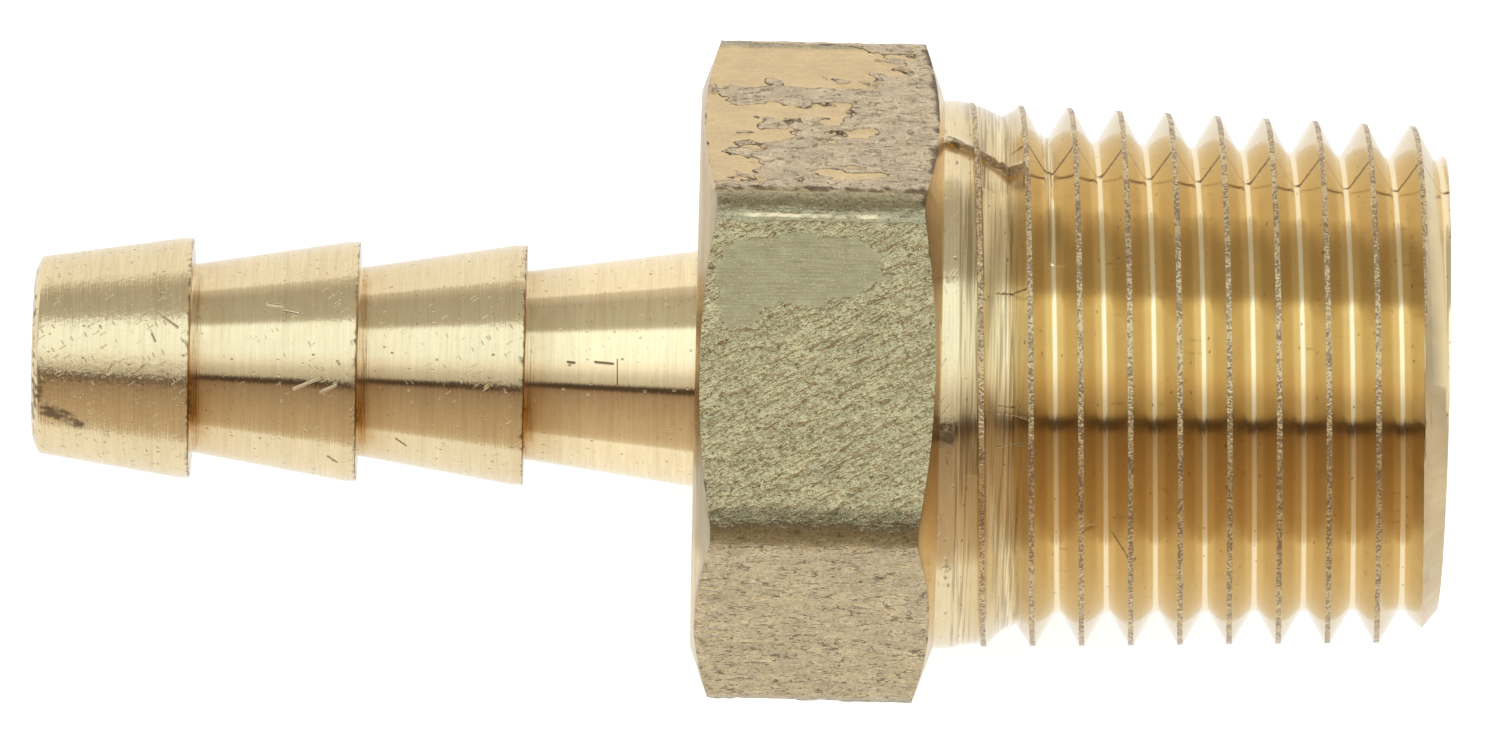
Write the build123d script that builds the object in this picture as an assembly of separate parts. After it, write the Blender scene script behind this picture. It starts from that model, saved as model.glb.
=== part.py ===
from build123d import *
import math
import os

os.makedirs("parts", exist_ok=True)

# All sizes are in millimetres. The bore runs along X. The hose end points to -X, and the
# centre of the thread end face is the origin. Two hexagon flats face +Z and -Z.

# Hose tail: three barbs and a root cone that runs into the hexagon.
TAIL_LENGTH = 12.7
TIP_DIA = 3.78
TIP_EDGE_LENGTH = 0.12
TIP_EDGE_DROP = 0.28
FIRST_BARB_LENGTH = 3.02
BARB_PITCH = 3.2
BARB_DIA = 4.6
BARB_LAND = 0.22
VALLEY_DIA = 3.64
VALLEY_LENGTH = 0.1
ROOT_CONE_DIA = 4.54

# Hexagon, cut from drawn bar with rounded corners and chamfered at both ends.
HEX_ACROSS_FLATS = 11.11
HEX_LENGTH = 4.65
HEX_CORNER_RADIUS = 0.77
HEX_CHAMFER_ANGLE = 20.0
HEX_FACE_DIA = 10.67

# Taper pipe thread, 27 to the inch, cut with a die up to a short neck at the hexagon.
THREAD_SECTION_LENGTH = 9.65
THREAD_END_DIA = 9.87
THREAD_TAPER = 1 / 16
THREAD_PITCH = 25.4 / 27
THREAD_FORM_ANGLE = 60.0
THREAD_DEPTH = 0.62
CREST_FLAT = 0.1
CREST_AT_TOP = 7.25
END_CHAMFER_LENGTH = 0.5
END_CHAMFER_DEPTH = 0.6

# Neck, and the run-out where the lead of the die left the grooves shallower.
NECK_LENGTH = 0.28
NECK_STEP = 0.03
FIRST_GROOVE_LENGTH = 0.41
FIRST_GROOVE_DEPTH = 0.05
RUN_OUT_LENGTH = 1.36

# Bore for the water, drilled straight through. It is hidden in the photograph.
BORE_DIA = 2.4

# How far the helical body overruns each end, where it is trimmed or buried.
OVERRUN = 1.3 * THREAD_PITCH

TAIL_END = -THREAD_SECTION_LENGTH - HEX_LENGTH - TAIL_LENGTH
HEX_START = -THREAD_SECTION_LENGTH - HEX_LENGTH
HEX_END = -THREAD_SECTION_LENGTH
HEX_MIDDLE = (HEX_START + HEX_END) / 2
NECK_END = HEX_END + NECK_LENGTH
RADIUS_SLOPE = THREAD_TAPER / 2
TAPER_ANGLE = math.atan(RADIUS_SLOPE)


def crest_radius(x):
    """Radius of the thread blank at x. It grows towards the hexagon."""
    return THREAD_END_DIA / 2 - RADIUS_SLOPE * x


def neck_radius():
    """Radius of the plain neck between the hexagon and the first groove."""
    return crest_radius(NECK_END) + NECK_STEP


def turned(points):
    """Solid made by turning a closed outline of (x, radius) points about the bore axis."""
    outline = make_face(Polyline(*[(x, r, 0) for x, r in points], close=True))
    return revolve(outline, axis=Axis.X)


def tail_outline():
    """Outline of the tip, the barbs and the root cone, with its inner end in the hexagon."""
    tip, barb, valley = TIP_DIA / 2, BARB_DIA / 2, VALLEY_DIA / 2
    shoulder = TAIL_END + FIRST_BARB_LENGTH
    points = [
        (TAIL_END, 0),
        (TAIL_END, tip - TIP_EDGE_DROP),
        (TAIL_END + TIP_EDGE_LENGTH, tip),
        (shoulder - BARB_LAND, barb),
        (shoulder, barb),
    ]
    for _ in range(2):
        points += [(shoulder, valley), (shoulder + VALLEY_LENGTH, valley)]
        shoulder += BARB_PITCH
        points += [(shoulder - BARB_LAND, barb), (shoulder, barb)]
    points += [(shoulder, valley), (shoulder + VALLEY_LENGTH, valley)]
    points += [(HEX_START, ROOT_CONE_DIA / 2), (HEX_MIDDLE, ROOT_CONE_DIA / 2), (HEX_MIDDLE, 0)]
    return points


def core_outline():
    """Outline of the neck and of the core that fills the shallow grooves next to it."""
    first = NECK_END + FIRST_GROOVE_LENGTH
    last = first + RUN_OUT_LENGTH
    slope = (THREAD_DEPTH - FIRST_GROOVE_DEPTH) / RUN_OUT_LENGTH
    buried = THREAD_DEPTH + slope * THREAD_PITCH / 2
    return [
        (HEX_MIDDLE, 0),
        (HEX_MIDDLE, neck_radius()),
        (NECK_END, neck_radius()),
        (first, crest_radius(first) - FIRST_GROOVE_DEPTH),
        (last + THREAD_PITCH / 2, crest_radius(last) - buried),
        (last + THREAD_PITCH / 2, 0),
    ]


def end_trim():
    """Body that trims the thread to the end face and its chamfer."""
    steepness = END_CHAMFER_LENGTH / END_CHAMFER_DEPTH
    face_radius = crest_radius(0) - END_CHAMFER_DEPTH
    outer = HEX_ACROSS_FLATS
    return turned(
        [
            (HEX_MIDDLE, 0),
            (HEX_MIDDLE, outer),
            (-steepness * (outer - face_radius), outer),
            (0, face_radius),
            (0, 0),
        ]
    )


def hexagon():
    """Hexagon with rounded corners and a shallow cone at each end."""
    section = RegularPolygon(HEX_ACROSS_FLATS / 2, 6, major_radius=False, rotation=30)
    section = fillet(section.vertices(), HEX_CORNER_RADIUS)
    prism = Pos(HEX_START, 0, 0) * (Rot(0, 90, 0) * extrude(section, HEX_LENGTH))
    slope = math.tan(math.radians(HEX_CHAMFER_ANGLE))
    reach = HEX_ACROSS_FLATS / 2
    outline = [
        (HEX_START, 0),
        (HEX_START, HEX_FACE_DIA / 2),
        (HEX_START + slope * reach, HEX_FACE_DIA / 2 + reach),
        (HEX_END - slope * reach, neck_radius() + reach),
        (HEX_END, neck_radius()),
        (HEX_END, 0),
    ]
    return prism & turned(outline)


def helix_turn(z, depth):
    """One turn of a helix that starts at height z, at this depth below the crest cone."""
    radius = crest_radius(z) - depth
    pitch = THREAD_PITCH / math.cos(TAPER_ANGLE)
    angle = -math.degrees(TAPER_ANGLE)
    return Helix(pitch, THREAD_PITCH, radius, center=(0, 0, z), cone_angle=angle).edge()


def screw_end(z, points, helix):
    """The two faces that close one end: half a lengthwise section and a helical ramp."""
    outline = [(0, 0, z)] + [tuple(point) for point in points] + [(0, 0, z + THREAD_PITCH)]
    axis = Edge.make_line(outline[0], outline[-1])
    return [
        make_face(Polyline(*outline, close=True)).face(),
        Face.make_surface_from_curves(axis, helix),
    ]


def screw():
    """Full thread without its ends, made along Z and then laid along the bore.

    Each turn has four helical faces: flank, root, flank and crest.
    """
    flank = THREAD_DEPTH * math.tan(math.radians(THREAD_FORM_ANGLE / 2))
    far_flank = THREAD_PITCH - CREST_FLAT
    corners = [(0, 0), (flank, THREAD_DEPTH), (far_flank - flank, THREAD_DEPTH), (far_flank, 0)]
    reach = CREST_FLAT / 2 - CREST_AT_TOP - NECK_END + OVERRUN
    first = CREST_FLAT / 2 - CREST_AT_TOP - math.ceil(reach / THREAD_PITCH) * THREAD_PITCH
    turns = math.ceil((OVERRUN - first) / THREAD_PITCH)
    rows = []
    for turn in range(turns):
        z = first + turn * THREAD_PITCH
        rows.append([helix_turn(z + along, depth) for along, depth in corners])
    last = first + turns * THREAD_PITCH
    rows.append([helix_turn(last, 0)])
    faces = screw_end(first, [edge @ 0 for edge in rows[0]] + [rows[1][0] @ 0], rows[0][0])
    for row, following in zip(rows, rows[1:]):
        edges = row + [following[0]]
        faces += [Face.make_surface_from_curves(a, b) for a, b in zip(edges, edges[1:])]
    faces += screw_end(last, [edge @ 1 for edge in rows[-2]] + [rows[-1][0] @ 1], rows[-1][0])
    # Angle 90 in this position becomes +Y, so the crest at CREST_AT_TOP faces +Y.
    return Rot(0, 90, 0) * (Rot(0, 0, 90) * Solid(Shell(faces)))


def bore():
    """Straight drilling from the hose end to the thread end."""
    radius = BORE_DIA / 2
    return turned([(TAIL_END, 0), (TAIL_END, radius), (0, radius), (0, 0)])


def fitting_body():
    """The whole turned piece."""
    thread = screw() & end_trim()
    return turned(tail_outline()) + hexagon() + (thread + turned(core_outline())) - bore()


if __name__ == "__main__":
    export_step(fitting_body(), "parts/fitting_body.step")
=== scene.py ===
"""Brass hose barb tail with a hexagon and a taper pipe thread, built around its CAD frame."""

import math

import bpy
import numpy as np
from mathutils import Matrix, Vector, noise


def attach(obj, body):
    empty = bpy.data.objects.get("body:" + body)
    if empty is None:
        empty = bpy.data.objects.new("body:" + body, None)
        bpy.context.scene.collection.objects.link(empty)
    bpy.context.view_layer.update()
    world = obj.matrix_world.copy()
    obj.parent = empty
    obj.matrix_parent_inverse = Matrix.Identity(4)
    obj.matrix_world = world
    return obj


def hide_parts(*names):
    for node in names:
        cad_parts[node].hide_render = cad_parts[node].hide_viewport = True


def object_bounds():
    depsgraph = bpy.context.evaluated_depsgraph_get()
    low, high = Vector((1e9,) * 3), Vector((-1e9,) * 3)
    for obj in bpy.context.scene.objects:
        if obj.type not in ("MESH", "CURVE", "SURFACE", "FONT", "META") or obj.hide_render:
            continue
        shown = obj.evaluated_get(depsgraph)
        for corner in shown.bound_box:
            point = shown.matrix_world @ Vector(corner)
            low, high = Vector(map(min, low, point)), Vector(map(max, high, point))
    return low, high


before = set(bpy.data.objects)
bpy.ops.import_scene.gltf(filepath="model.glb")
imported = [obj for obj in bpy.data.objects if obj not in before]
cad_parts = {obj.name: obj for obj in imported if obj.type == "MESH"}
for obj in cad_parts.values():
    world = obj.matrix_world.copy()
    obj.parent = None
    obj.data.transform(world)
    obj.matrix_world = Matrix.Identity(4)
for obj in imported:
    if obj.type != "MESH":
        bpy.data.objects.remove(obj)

bl_info = {
    "name": "Hose barb tail",
    "version": (1, 0, 0),
    "blender": (4, 5, 0),
    "location": "View3D > Sidebar > Fitting",
    "description": "Builds a turned brass hose barb tail and the table it lies on",
    "category": "Object",
}

MM = 0.001
CAD_BOX = [list(corner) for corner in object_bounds()]
NODE = "fitting_body"

# Camera of the photograph: its pixel scale at the bore axis, its distance above that axis,
# the point of the frame that the picture is centred on, and its roll.
IMAGE_WIDTH = 1500
PIXELS_PER_MM = 52.1
CAMERA_HEIGHT = 334.0
CAMERA_AIM = (-13.266, 0.087)
CAMERA_ROLL = 1.25
SENSOR = 36.0
CLIP_START = 0.01

# Half the side of the table in metres, and how much it glows by itself to reach white.
TABLE_REACH = 1.5
TABLE_GLOW = 0.75


def linear(code):
    """Linear RGB of an sRGB hex colour."""
    values = [int(code[i : i + 2], 16) / 255 for i in (1, 3, 5)]
    return [v / 12.92 if v <= 0.04045 else ((v + 0.055) / 1.055) ** 2.4 for v in values]


def length(name, millimetres, about):
    """A size property, given in millimetres and kept in metres."""
    return bpy.props.FloatProperty(
        name=name, description=about, default=millimetres * MM, min=0, unit="LENGTH", precision=5
    )


def colour(name, code, about):
    """A colour property, given as an sRGB hex code."""
    return bpy.props.FloatVectorProperty(
        name=name, description=about, default=linear(code), min=0, max=1, subtype="COLOR"
    )


class FittingSizes(bpy.types.PropertyGroup):
    """Sizes of the turned piece."""

    tail: length("Tail length", 12.7, "Hose end face to hexagon")
    tip: length("Tip diameter", 3.78, "Hose end before its edge is broken")
    first_barb: length("First barb", 3.02, "Hose end face to the first shoulder")
    barb_pitch: length("Barb pitch", 3.2, "Shoulder to shoulder")
    barb: length("Barb diameter", 4.6, "Over the lands of the barbs")
    valley: length("Valley diameter", 3.64, "Behind each shoulder")
    root_cone: length("Root cone", 4.54, "Large end of the last cone")
    flats: length("Across flats", 11.11, "Hexagon across flats")
    hexagon: length("Hexagon length", 4.65, "Face to face along the bore")
    corner: length("Corner radius", 0.77, "Rounded corners of the bar")
    face: length("Face diameter", 10.67, "Flat face inside the chamfer at the tail")
    section: length("Thread section", 9.65, "Hexagon to thread end face")
    end: length("Thread end diameter", 9.87, "Crest cone at the end face")
    pitch: length("Pitch", 25.4 / 27, "27 threads to the inch")
    depth: length("Thread depth", 0.62, "Crest to root")
    crest: length("Crest flat", 0.1, "Width of the flat crests")
    bore: length("Bore", 2.4, "Drilled straight through")


class FittingColours(bpy.types.PropertyGroup):
    """Colours of the finishes and of the stage."""

    brass: colour("Turned brass", "#EDD9AE", "Bright cut surface")
    film: colour("Amber film", "#DCC092", "Smooth drawn film on the bar")
    olive: colour("Olive skin", "#B5AB85", "Gritty side of the bar")
    tan: colour("Tan skin", "#BDAB86", "Streaked side of the bar")
    worn: colour("Bar corner", "#A89D7C", "Corners of the bar, smooth and dull")
    oxide: colour("Oxide", "#C9B698", "Grey-brown scale on the bar and the crests")
    # This dark colour also paints shade between grains, round the scale, at the foot of its ledges
    # and along the tail's edges.
    grime_and_painted_shade: colour("Grime", "#5E4A35", "Dark film in pits and along edges")
    # The heat tint also colours the painted shadow under the burr.
    tint: colour("Heat tint", "#C08A3C", "Orange-brown tarnish behind the shoulders")
    floor: colour("Table", "#F4F4F2", "Matte white table")


# The sizes that are not worth a slider, in millimetres and degrees.
TIP_EDGE = (0.12, 0.28)
BARB_LAND = 0.22
VALLEY_LENGTH = 0.1
CHAMFER_ANGLE = 20.0
TAPER = 1 / 32
THREAD_FLANK = math.tan(math.radians(30))
ROOT_ROUNDING = 0.05
CREST_AT_TOP = -7.25
NECK_LENGTH = 0.28
NECK_STEP = 0.03
FIRST_GROOVE = (0.41, 0.05)
RUN_OUT_LENGTH = 1.36
END_CHAMFER = (0.5, 0.6)
# How far each edge of the tail is broken, in millimetres.
FACE_EDGE = 0.05
TIP_TOP_EDGE = 0.06
LAND_EDGE = 0.08
SHOULDER_EDGE = 0.03
VALLEY_EDGE = 0.05

# Radii at which the skins of the tail and of the thread are rolled out flat for their marks.
TAIL_RADIUS = 2.2
THREAD_RADIUS = 4.95

# How the mesh is divided: columns on each side of the bar and their crowding at its corners,
# rows of its two chamfers and of the skin between them, points along the neck, the end face and
# the bore, and the longest step on the tail. Fine columns end at this share of the end face.
COLUMNS_PER_SIDE = 60
CORNER_CROWDING = 0.15
CHAMFER_ROWS = (3, 5)
BAR_ROWS = 42
NECK_POINTS = 4
FACE_POINTS = 5
BORE_POINTS = 6
TAIL_STEP = 0.17
FINE_SHARE = 0.75
# Extra rows of the thread, as distances from the edge of a crest and of a root. They keep the
# blended normals in narrow strips.
CREST_EDGE_ROWS = (0.012, 0.035)
ROOT_EDGE_ROWS = (-0.07, -0.04, 0.0, 0.03)
# Points that agree to this many digits of a millimetre are welded, and edges that turn by more
# than this angle, in degrees, stay hard.
WELD_DIGITS = 5
SHARP_ANGLE = 38.0
# How close a point is to an edge or a surface that it lies on, in millimetres.
ON_EDGE = 0.005
ON_SURFACE = 0.004

# Numbers of the finishes, and of the sides of the bar from +Y by way of +Z.
TURNED, FACED, SKIN, DIE_CUT, CREST = range(5)
UPPER, FRONT, LOWER, BACK_LOWER, TABLE_SIDE, BACK_UPPER = range(6)


class Shape:
    """Measures of the piece in millimetres, along X from the thread end face at 0."""

    def __init__(self, sizes):
        for name in sizes.__annotations__:
            setattr(self, name, getattr(sizes, name) / MM)
        self.hex_end = -self.section
        self.hex_start = self.hex_end - self.hexagon
        self.tail_end = self.hex_start - self.tail
        self.neck_end = self.hex_end + NECK_LENGTH
        self.neck = self.blank(self.neck_end) + NECK_STEP
        # Where a flank ends in the root, measured along X from the middle of its crest.
        self.foot = self.crest / 2 + self.depth * THREAD_FLANK
        self.shoulders = [self.tail_end + self.first_barb + self.barb_pitch * k for k in range(3)]

    def blank(self, x):
        """Radius of the crest cone at x."""
        return self.end / 2 - TAPER * x

    def hex_radius(self, turn):
        """Distance from the axis to the side of the hexagon, at angle turn from a corner."""
        off = (turn + math.pi / 6) % (math.pi / 3) - math.pi / 6
        centre = (self.flats / 2 - self.corner) / math.cos(math.pi / 6)
        straight = self.flats / 2 / np.cos(math.pi / 6 - np.abs(off))
        inside = np.maximum(self.corner**2 - (centre * np.sin(off)) ** 2, 0)
        rounded = centre * np.cos(off) + np.sqrt(inside)
        joint = math.atan2(self.corner / 2, centre + self.corner * math.cos(math.pi / 6))
        return np.where(np.abs(off) < joint, rounded, straight)

    def bar_ends(self, turn):
        """Where the bar's skin ends at its chamfers, on the tail side and the thread side."""
        slope = math.tan(math.radians(CHAMFER_ANGLE))
        side = self.hex_radius(turn)
        start = self.hex_start + slope * (side - self.face / 2)
        end = self.hex_end - slope * (side - self.neck)
        return start, end

    def core(self, x):
        """Radius of the core that fills the shallow first grooves."""
        first = self.neck_end + FIRST_GROOVE[0]
        last = first + RUN_OUT_LENGTH
        stations = (self.neck_end, first, last, last + self.pitch)
        slope = (self.depth - FIRST_GROOVE[1]) / RUN_OUT_LENGTH
        below = (-NECK_STEP, FIRST_GROOVE[1], self.depth, self.depth + slope * self.pitch)
        return self.blank(x) - np.interp(x, stations, below)

    def along(self, x, turn):
        """Place within the pitch, from -0.5 to 0.5, with the crest's middle at 0."""
        return ((x - CREST_AT_TOP) / self.pitch - turn / (2 * math.pi) + 0.5) % 1 - 0.5

    def thread(self, x, turn):
        """Radius of the thread at x and turn. Its roots are rounded as the die left them."""
        off = np.abs(self.along(x, turn)) * self.pitch
        below = (off - self.crest / 2) / THREAD_FLANK
        near = np.maximum(ROOT_ROUNDING - np.abs(below - self.depth), 0) / ROOT_ROUNDING
        below = np.clip(below, 0, self.depth) - near**2 * ROOT_ROUNDING / 4
        radius = np.maximum(self.blank(x) - np.maximum(below, 0), self.core(x))
        return np.minimum(radius, self.end_chamfer(x))

    def end_chamfer(self, x):
        """Radius of the cone that breaks the edge of the end face."""
        return self.blank(0) - END_CHAMFER[1] - x * END_CHAMFER[1] / END_CHAMFER[0]


def columns():
    """Angles of the mesh columns from +Y towards +Z, closer together at the bar's corners."""
    steps = np.linspace(-1, 1, COLUMNS_PER_SIDE + 1)[:-1]
    crowded = (1 - CORNER_CROWDING) * steps + CORNER_CROWDING * steps**3
    side = math.radians(30) * crowded
    turns = np.concatenate([side + math.radians(60) * k for k in range(6)])
    return np.append(turns, turns[0] + 2 * math.pi)


def rounded(points, spacing):
    """Outline through (x, radius, edge radius) points, with its edges rounded and its runs
    divided into steps of at most this spacing."""
    path = []
    last = len(points) - 1
    for i, (x, r, edge) in enumerate(points):
        here = Vector((x, r))
        if i in (0, last) or edge == 0:
            path.append(here)
            continue
        back = Vector(points[i - 1][:2]) - here
        on = Vector(points[i + 1][:2]) - here
        reach = min(edge, 0.45 * back.length, 0.45 * on.length)
        a, b = here + back.normalized() * reach, here + on.normalized() * reach
        for t in (0, 0.33, 0.67, 1):
            path.append(a * (1 - t) ** 2 + here * (2 * t * (1 - t)) + b * t**2)
    out = [path[0]]
    for a, b in zip(path, path[1:]):
        steps = max(1, math.ceil((b - a).length / spacing))
        out += [a.lerp(b, (k + 1) / steps) for k in range(steps)]
    return np.array([[p.x, p.y] for p in out])


def tail_rows(s):
    """Rows of the hose end face, the barbs and the root cone, up to the hexagon's face."""
    tip, barb, valley = s.tip / 2, s.barb / 2, s.valley / 2
    points = [
        (s.tail_end, s.bore / 2, 0),
        (s.tail_end, tip - TIP_EDGE[1], FACE_EDGE),
        (s.tail_end + TIP_EDGE[0], tip, TIP_TOP_EDGE),
    ]
    for shoulder in s.shoulders:
        points += [
            (shoulder - BARB_LAND, barb, LAND_EDGE),
            (shoulder, barb, SHOULDER_EDGE),
            (shoulder, valley, SHOULDER_EDGE),
            (shoulder + VALLEY_LENGTH, valley, VALLEY_EDGE),
        ]
    points.append((s.hex_start, s.root_cone / 2, 0))
    return rounded(points, TAIL_STEP)


def hexagon_rows(s, turn):
    """Rows from the tail-side face over the flats to the neck. The chamfers end on rows."""
    side = s.hex_radius(turn)
    start, end = s.bar_ends(turn)
    parts = []
    for a, b, ra, rb, steps, finish in (
        (s.hex_start, start, s.face / 2, side, CHAMFER_ROWS[0], FACED),
        (start, end, side, side, BAR_ROWS, SKIN),
        (end, s.hex_end, side, s.neck, CHAMFER_ROWS[1], FACED),
    ):
        t = np.linspace(0, 1, steps + 1)[:, None]
        parts.append((a + (b - a) * t, ra + (rb - ra) * t, finish))
    return parts


def thread_rows(s, turn):
    """Helical rows of the thread, cut off square at the neck and at the end face."""
    half = s.crest / 2
    steps = [-half, 0, half]
    steps += [half + row for row in CREST_EDGE_ROWS] + [s.foot + row for row in ROOT_EDGE_ROWS]
    steps += [s.pitch - step for step in reversed(steps[3:])]
    base = CREST_AT_TOP + s.pitch * math.floor((s.neck_end - s.pitch - CREST_AT_TOP) / s.pitch)
    count = math.ceil((s.pitch - base) / s.pitch)
    offsets = np.concatenate([base + s.pitch * k + np.array(steps) for k in range(count)])
    turns = np.broadcast_to(turn, (len(offsets), len(turn)))
    x = np.clip(offsets[:, None] + s.pitch * turns / (2 * math.pi), s.neck_end, 0)
    radius = s.thread(x, turns)
    # The first two strips of each turn are the crest.
    crest = np.arange(len(offsets) - 1) % len(steps) < 2
    finish = np.where(crest[:, None], CREST, DIE_CUT) * np.ones(len(turn) - 1, dtype=int)
    bevelled = radius > s.end_chamfer(x) - 1e-6
    finish[bevelled[:-1, :-1] & bevelled[1:, 1:]] = FACED
    return x, radius, turns, finish


class Sheet:
    """Collects grids of points and their faces. Grids that meet share their points."""

    def __init__(self):
        self.points = []
        self.faces = []
        self.finishes = []
        self.count = 0

    def add(self, x, r, turn, finish):
        """Adds a grid, one row for each x and r. The finish is a number or one for each face."""
        x, r, turn = np.broadcast_arrays(x, r, turn)
        grid = np.stack([x, r * np.cos(turn), r * np.sin(turn)], axis=-1)
        rows, cols = x.shape
        index = np.arange(rows * cols).reshape(rows, cols) + self.count
        quads = np.stack([index[:-1, :-1], index[:-1, 1:], index[1:, 1:], index[1:, :-1]], axis=-1)
        self.points.append(grid.reshape(-1, 3))
        self.faces.append(quads.reshape(-1, 4))
        self.finishes.append(np.broadcast_to(finish, quads.shape[:2]).reshape(-1))
        self.count += rows * cols

    def welded(self):
        """The points that differ, the faces that have an area, and the finish of each face."""
        points = np.concatenate(self.points)
        keys = np.round(points, WELD_DIGITS) + 0.0
        _, first, welded = np.unique(keys, axis=0, return_index=True, return_inverse=True)
        faces = welded.reshape(-1)[np.concatenate(self.faces)]
        polygons, kept = [], []
        for corners, finish in zip(faces.tolist(), np.concatenate(self.finishes).tolist()):
            ring = [c for k, c in enumerate(corners) if c != corners[k - 1]]
            if len(set(ring)) == len(ring) > 2:
                polygons.append(ring)
                kept.append(finish)
        return points[first], polygons, kept


def fitting_skin(s):
    """The whole skin: tail, hexagon, neck, thread, end face and bore. The tail, the end face
    and the bore have half as many columns as the rest."""
    fine = columns()
    coarse = fine[::2]
    joined = np.repeat(coarse, 2)[: len(fine)]
    sheet = Sheet()
    outline = tail_rows(s)
    sheet.add(outline[:, :1], outline[:, 1:], coarse, TURNED)
    sheet.add(
        np.array([[s.hex_start], [s.hex_start]]),
        np.array([[s.root_cone / 2], [s.face / 2]]),
        np.stack([joined, fine]),
        FACED,
    )
    for x, r, finish in hexagon_rows(s, fine):
        sheet.add(x, r, fine, finish)
    sheet.add(np.linspace(s.hex_end, s.neck_end, NECK_POINTS)[:, None], s.neck, fine, TURNED)
    sheet.add(*thread_rows(s, fine))
    rim = s.thread(0, fine)
    middle = FINE_SHARE * s.blank(0)
    sheet.add(0, np.stack([rim, np.full(len(fine), middle)]), np.stack([fine, joined]), FACED)
    sheet.add(0, np.linspace(middle, s.bore / 2, FACE_POINTS)[:, None], coarse, FACED)
    sheet.add(np.linspace(0, s.tail_end, BORE_POINTS)[:, None], s.bore / 2, coarse, TURNED)
    return sheet.welded()


def clouds(points, size, octaves=4):
    """Cloudy noise at the points, about -1 to 1, with features of these sizes along x, y, z."""
    return np.array([noise.fractal(p, 0.7, 2.1, octaves) for p in (points / size).tolist()])


def bell(value, middle, width):
    """Soft rise to 1 at the middle, faded to about a third at this width to either side."""
    return np.exp(-(((value - middle) / width) ** 2))


def spots(x, t, places):
    """Sum of soft spots. A place is x, t, half length, half width and strength."""
    total = np.zeros(len(x))
    for x0, t0, a, b, strength in places:
        total += strength * bell(x, x0, a) * bell(t, t0, b)
    return total


def smooth(value, low, high):
    """Smooth step of the value from 0 at low to 1 at high."""
    t = np.clip((value - low) / (high - low), 0, 1)
    return t * t * (3 - 2 * t)


# Where scale still clings to the upper side of the bar and where it came off, as x, distance
# across the flat, half length, half width and strength.
SCALE_PATCHES = (
    (-10.0, 0.4, 1.1, 2.6, 1.3),
    (-13.0, -0.9, 1.7, 0.26, 1.4),
    (-12.1, 1.4, 1.5, 1.1, 0.75),
    (-10.3, -2.9, 1.0, 0.25, 1.6),
    (-12.0, 2.6, 2.2, 0.13, 1.1),
    (-12.2, -3.1, 2.2, 0.12, 1.0),
    (-12.6, -2.1, 1.8, 0.65, -1.8),
    (-14.0, 0.1, 0.7, 0.8, -1.2),
    (-13.6, 1.9, 0.5, 0.5, -0.7),
    (-11.3, 0.6, 0.45, 0.16, -1.5),
    (-12.9, 0.75, 0.5, 0.2, -1.4),
    (-12.4, -0.15, 0.8, 0.14, -1.3),
    (-11.2, 2.2, 0.7, 0.13, -1.2),
)

# Plain places on the gritty front of the bar.
PLAIN_PATCHES = (
    (-12.7, -1.95, 1.0, 0.6, 1.1),
    (-11.6, -1.95, 0.95, 0.55, 1.0),
    (-13.5, -1.4, 0.42, 0.75, 1.0),
)
# Where a painted highlight runs along the upper front edge of the bar, as a distance from the bore
# axis.
PAINTED_HIGHLIGHT_EDGE = 2.94

# Painted shade on the bar's two chamfers and on the one at the thread end: their brightness by
# turn stands in for how light falls on them. Turns in degrees, and the share at each.
THREAD_CHAMFER_PAINTED_SHADE = ((0, 45, 75, 100, 122, 180), (1.2, 1.2, 0.42, 0.6, 1.35, 1.2))
TAIL_CHAMFER_PAINTED_SHADE = ((0, 60, 90, 130, 180), (0.72, 0.7, 0.8, 1.1, 1.0))
END_CHAMFER_PAINTED_SHADE = ((0, 50, 85, 130, 180), (1.0, 0.88, 0.54, 0.82, 1.0))
# The stretch of the tail-side chamfer that is dull, in degrees.
DULL_FROM = (97, 103)
DULL_TO = (124, 130)

# Stains on the tail, as x, turn in degrees, half length, half turn and strength.
TAIL_STAINS = (
    (-26.66, 124.0, 0.22, 5.0, 0.75),
    (-26.32, 126.5, 0.22, 4.0, 0.8),
    (-26.08, 131.0, 0.15, 3.5, 0.7),
    (-26.82, 112.0, 0.12, 10.0, 0.6),
)
# Stains on the neck, as x, turn in degrees, half length, half turn and strength. The first lies on
# the dark band that the neck reflects and widens it: painted shade. The others are marks.
NECK_STAINS_AND_SHADE = (
    (-9.5, 103.2, 0.3, 1.8, 0.9),
    (-9.5, 70.0, 0.3, 0.8, 0.5),
    (-9.45, 135.0, 0.12, 5.0, 0.4),
)

# Marks as x and turn where they start, x and turn where they end, and width.
BRIGHT_SCRATCHES = (
    (-21.95, 104.7, -21.46, 98.3, 0.05),
    (-21.44, 105.6, -21.15, 101.5, 0.045),
    (-22.49, 59.1, -22.2, 60.7, 0.06),
    (-24.48, 70.1, -24.19, 75.5, 0.04),
    (-25.5, 99.0, -25.42, 95.0, 0.06),
    (-24.95, 98.5, -24.82, 94.5, 0.05),
    (-18.3, 101.5, -18.22, 98.5, 0.05),
)
DARK_NICKS = (
    (-24.68, 78.5, -24.62, 82.0, 0.05),
    (-22.18, 63.6, -21.91, 65.8, 0.05),
    (-20.0, 138.8, -19.81, 143.8, 0.05),
    (-16.74, 87.9, -16.62, 88.3, 0.06),
    (-16.22, 87.6, -15.88, 88.4, 0.05),
    (-15.8, 85.8, -15.79, 99.6, 0.02),
    (-21.3, 144.0, -21.12, 148.0, 0.05),
)
THREAD_MARKS = (
    (-8.62, 71.9, -8.05, 71.3, 0.03),
    (-8.6, 98.0, -8.02, 99.0, 0.03),
    (-8.55, 96.7, -8.1, 97.2, 0.02),
    (-8.6, 105.8, -8.08, 104.9, 0.03),
    (-6.31, 129.3, -5.88, 132.5, 0.07),
)

# The torn burr where the die stopped: its two ends as x and turn, and its half width.
BURR_START = (-9.58, 33.0)
BURR_END = (-8.15, 40.2)
BURR_WIDTH = 0.16
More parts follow.
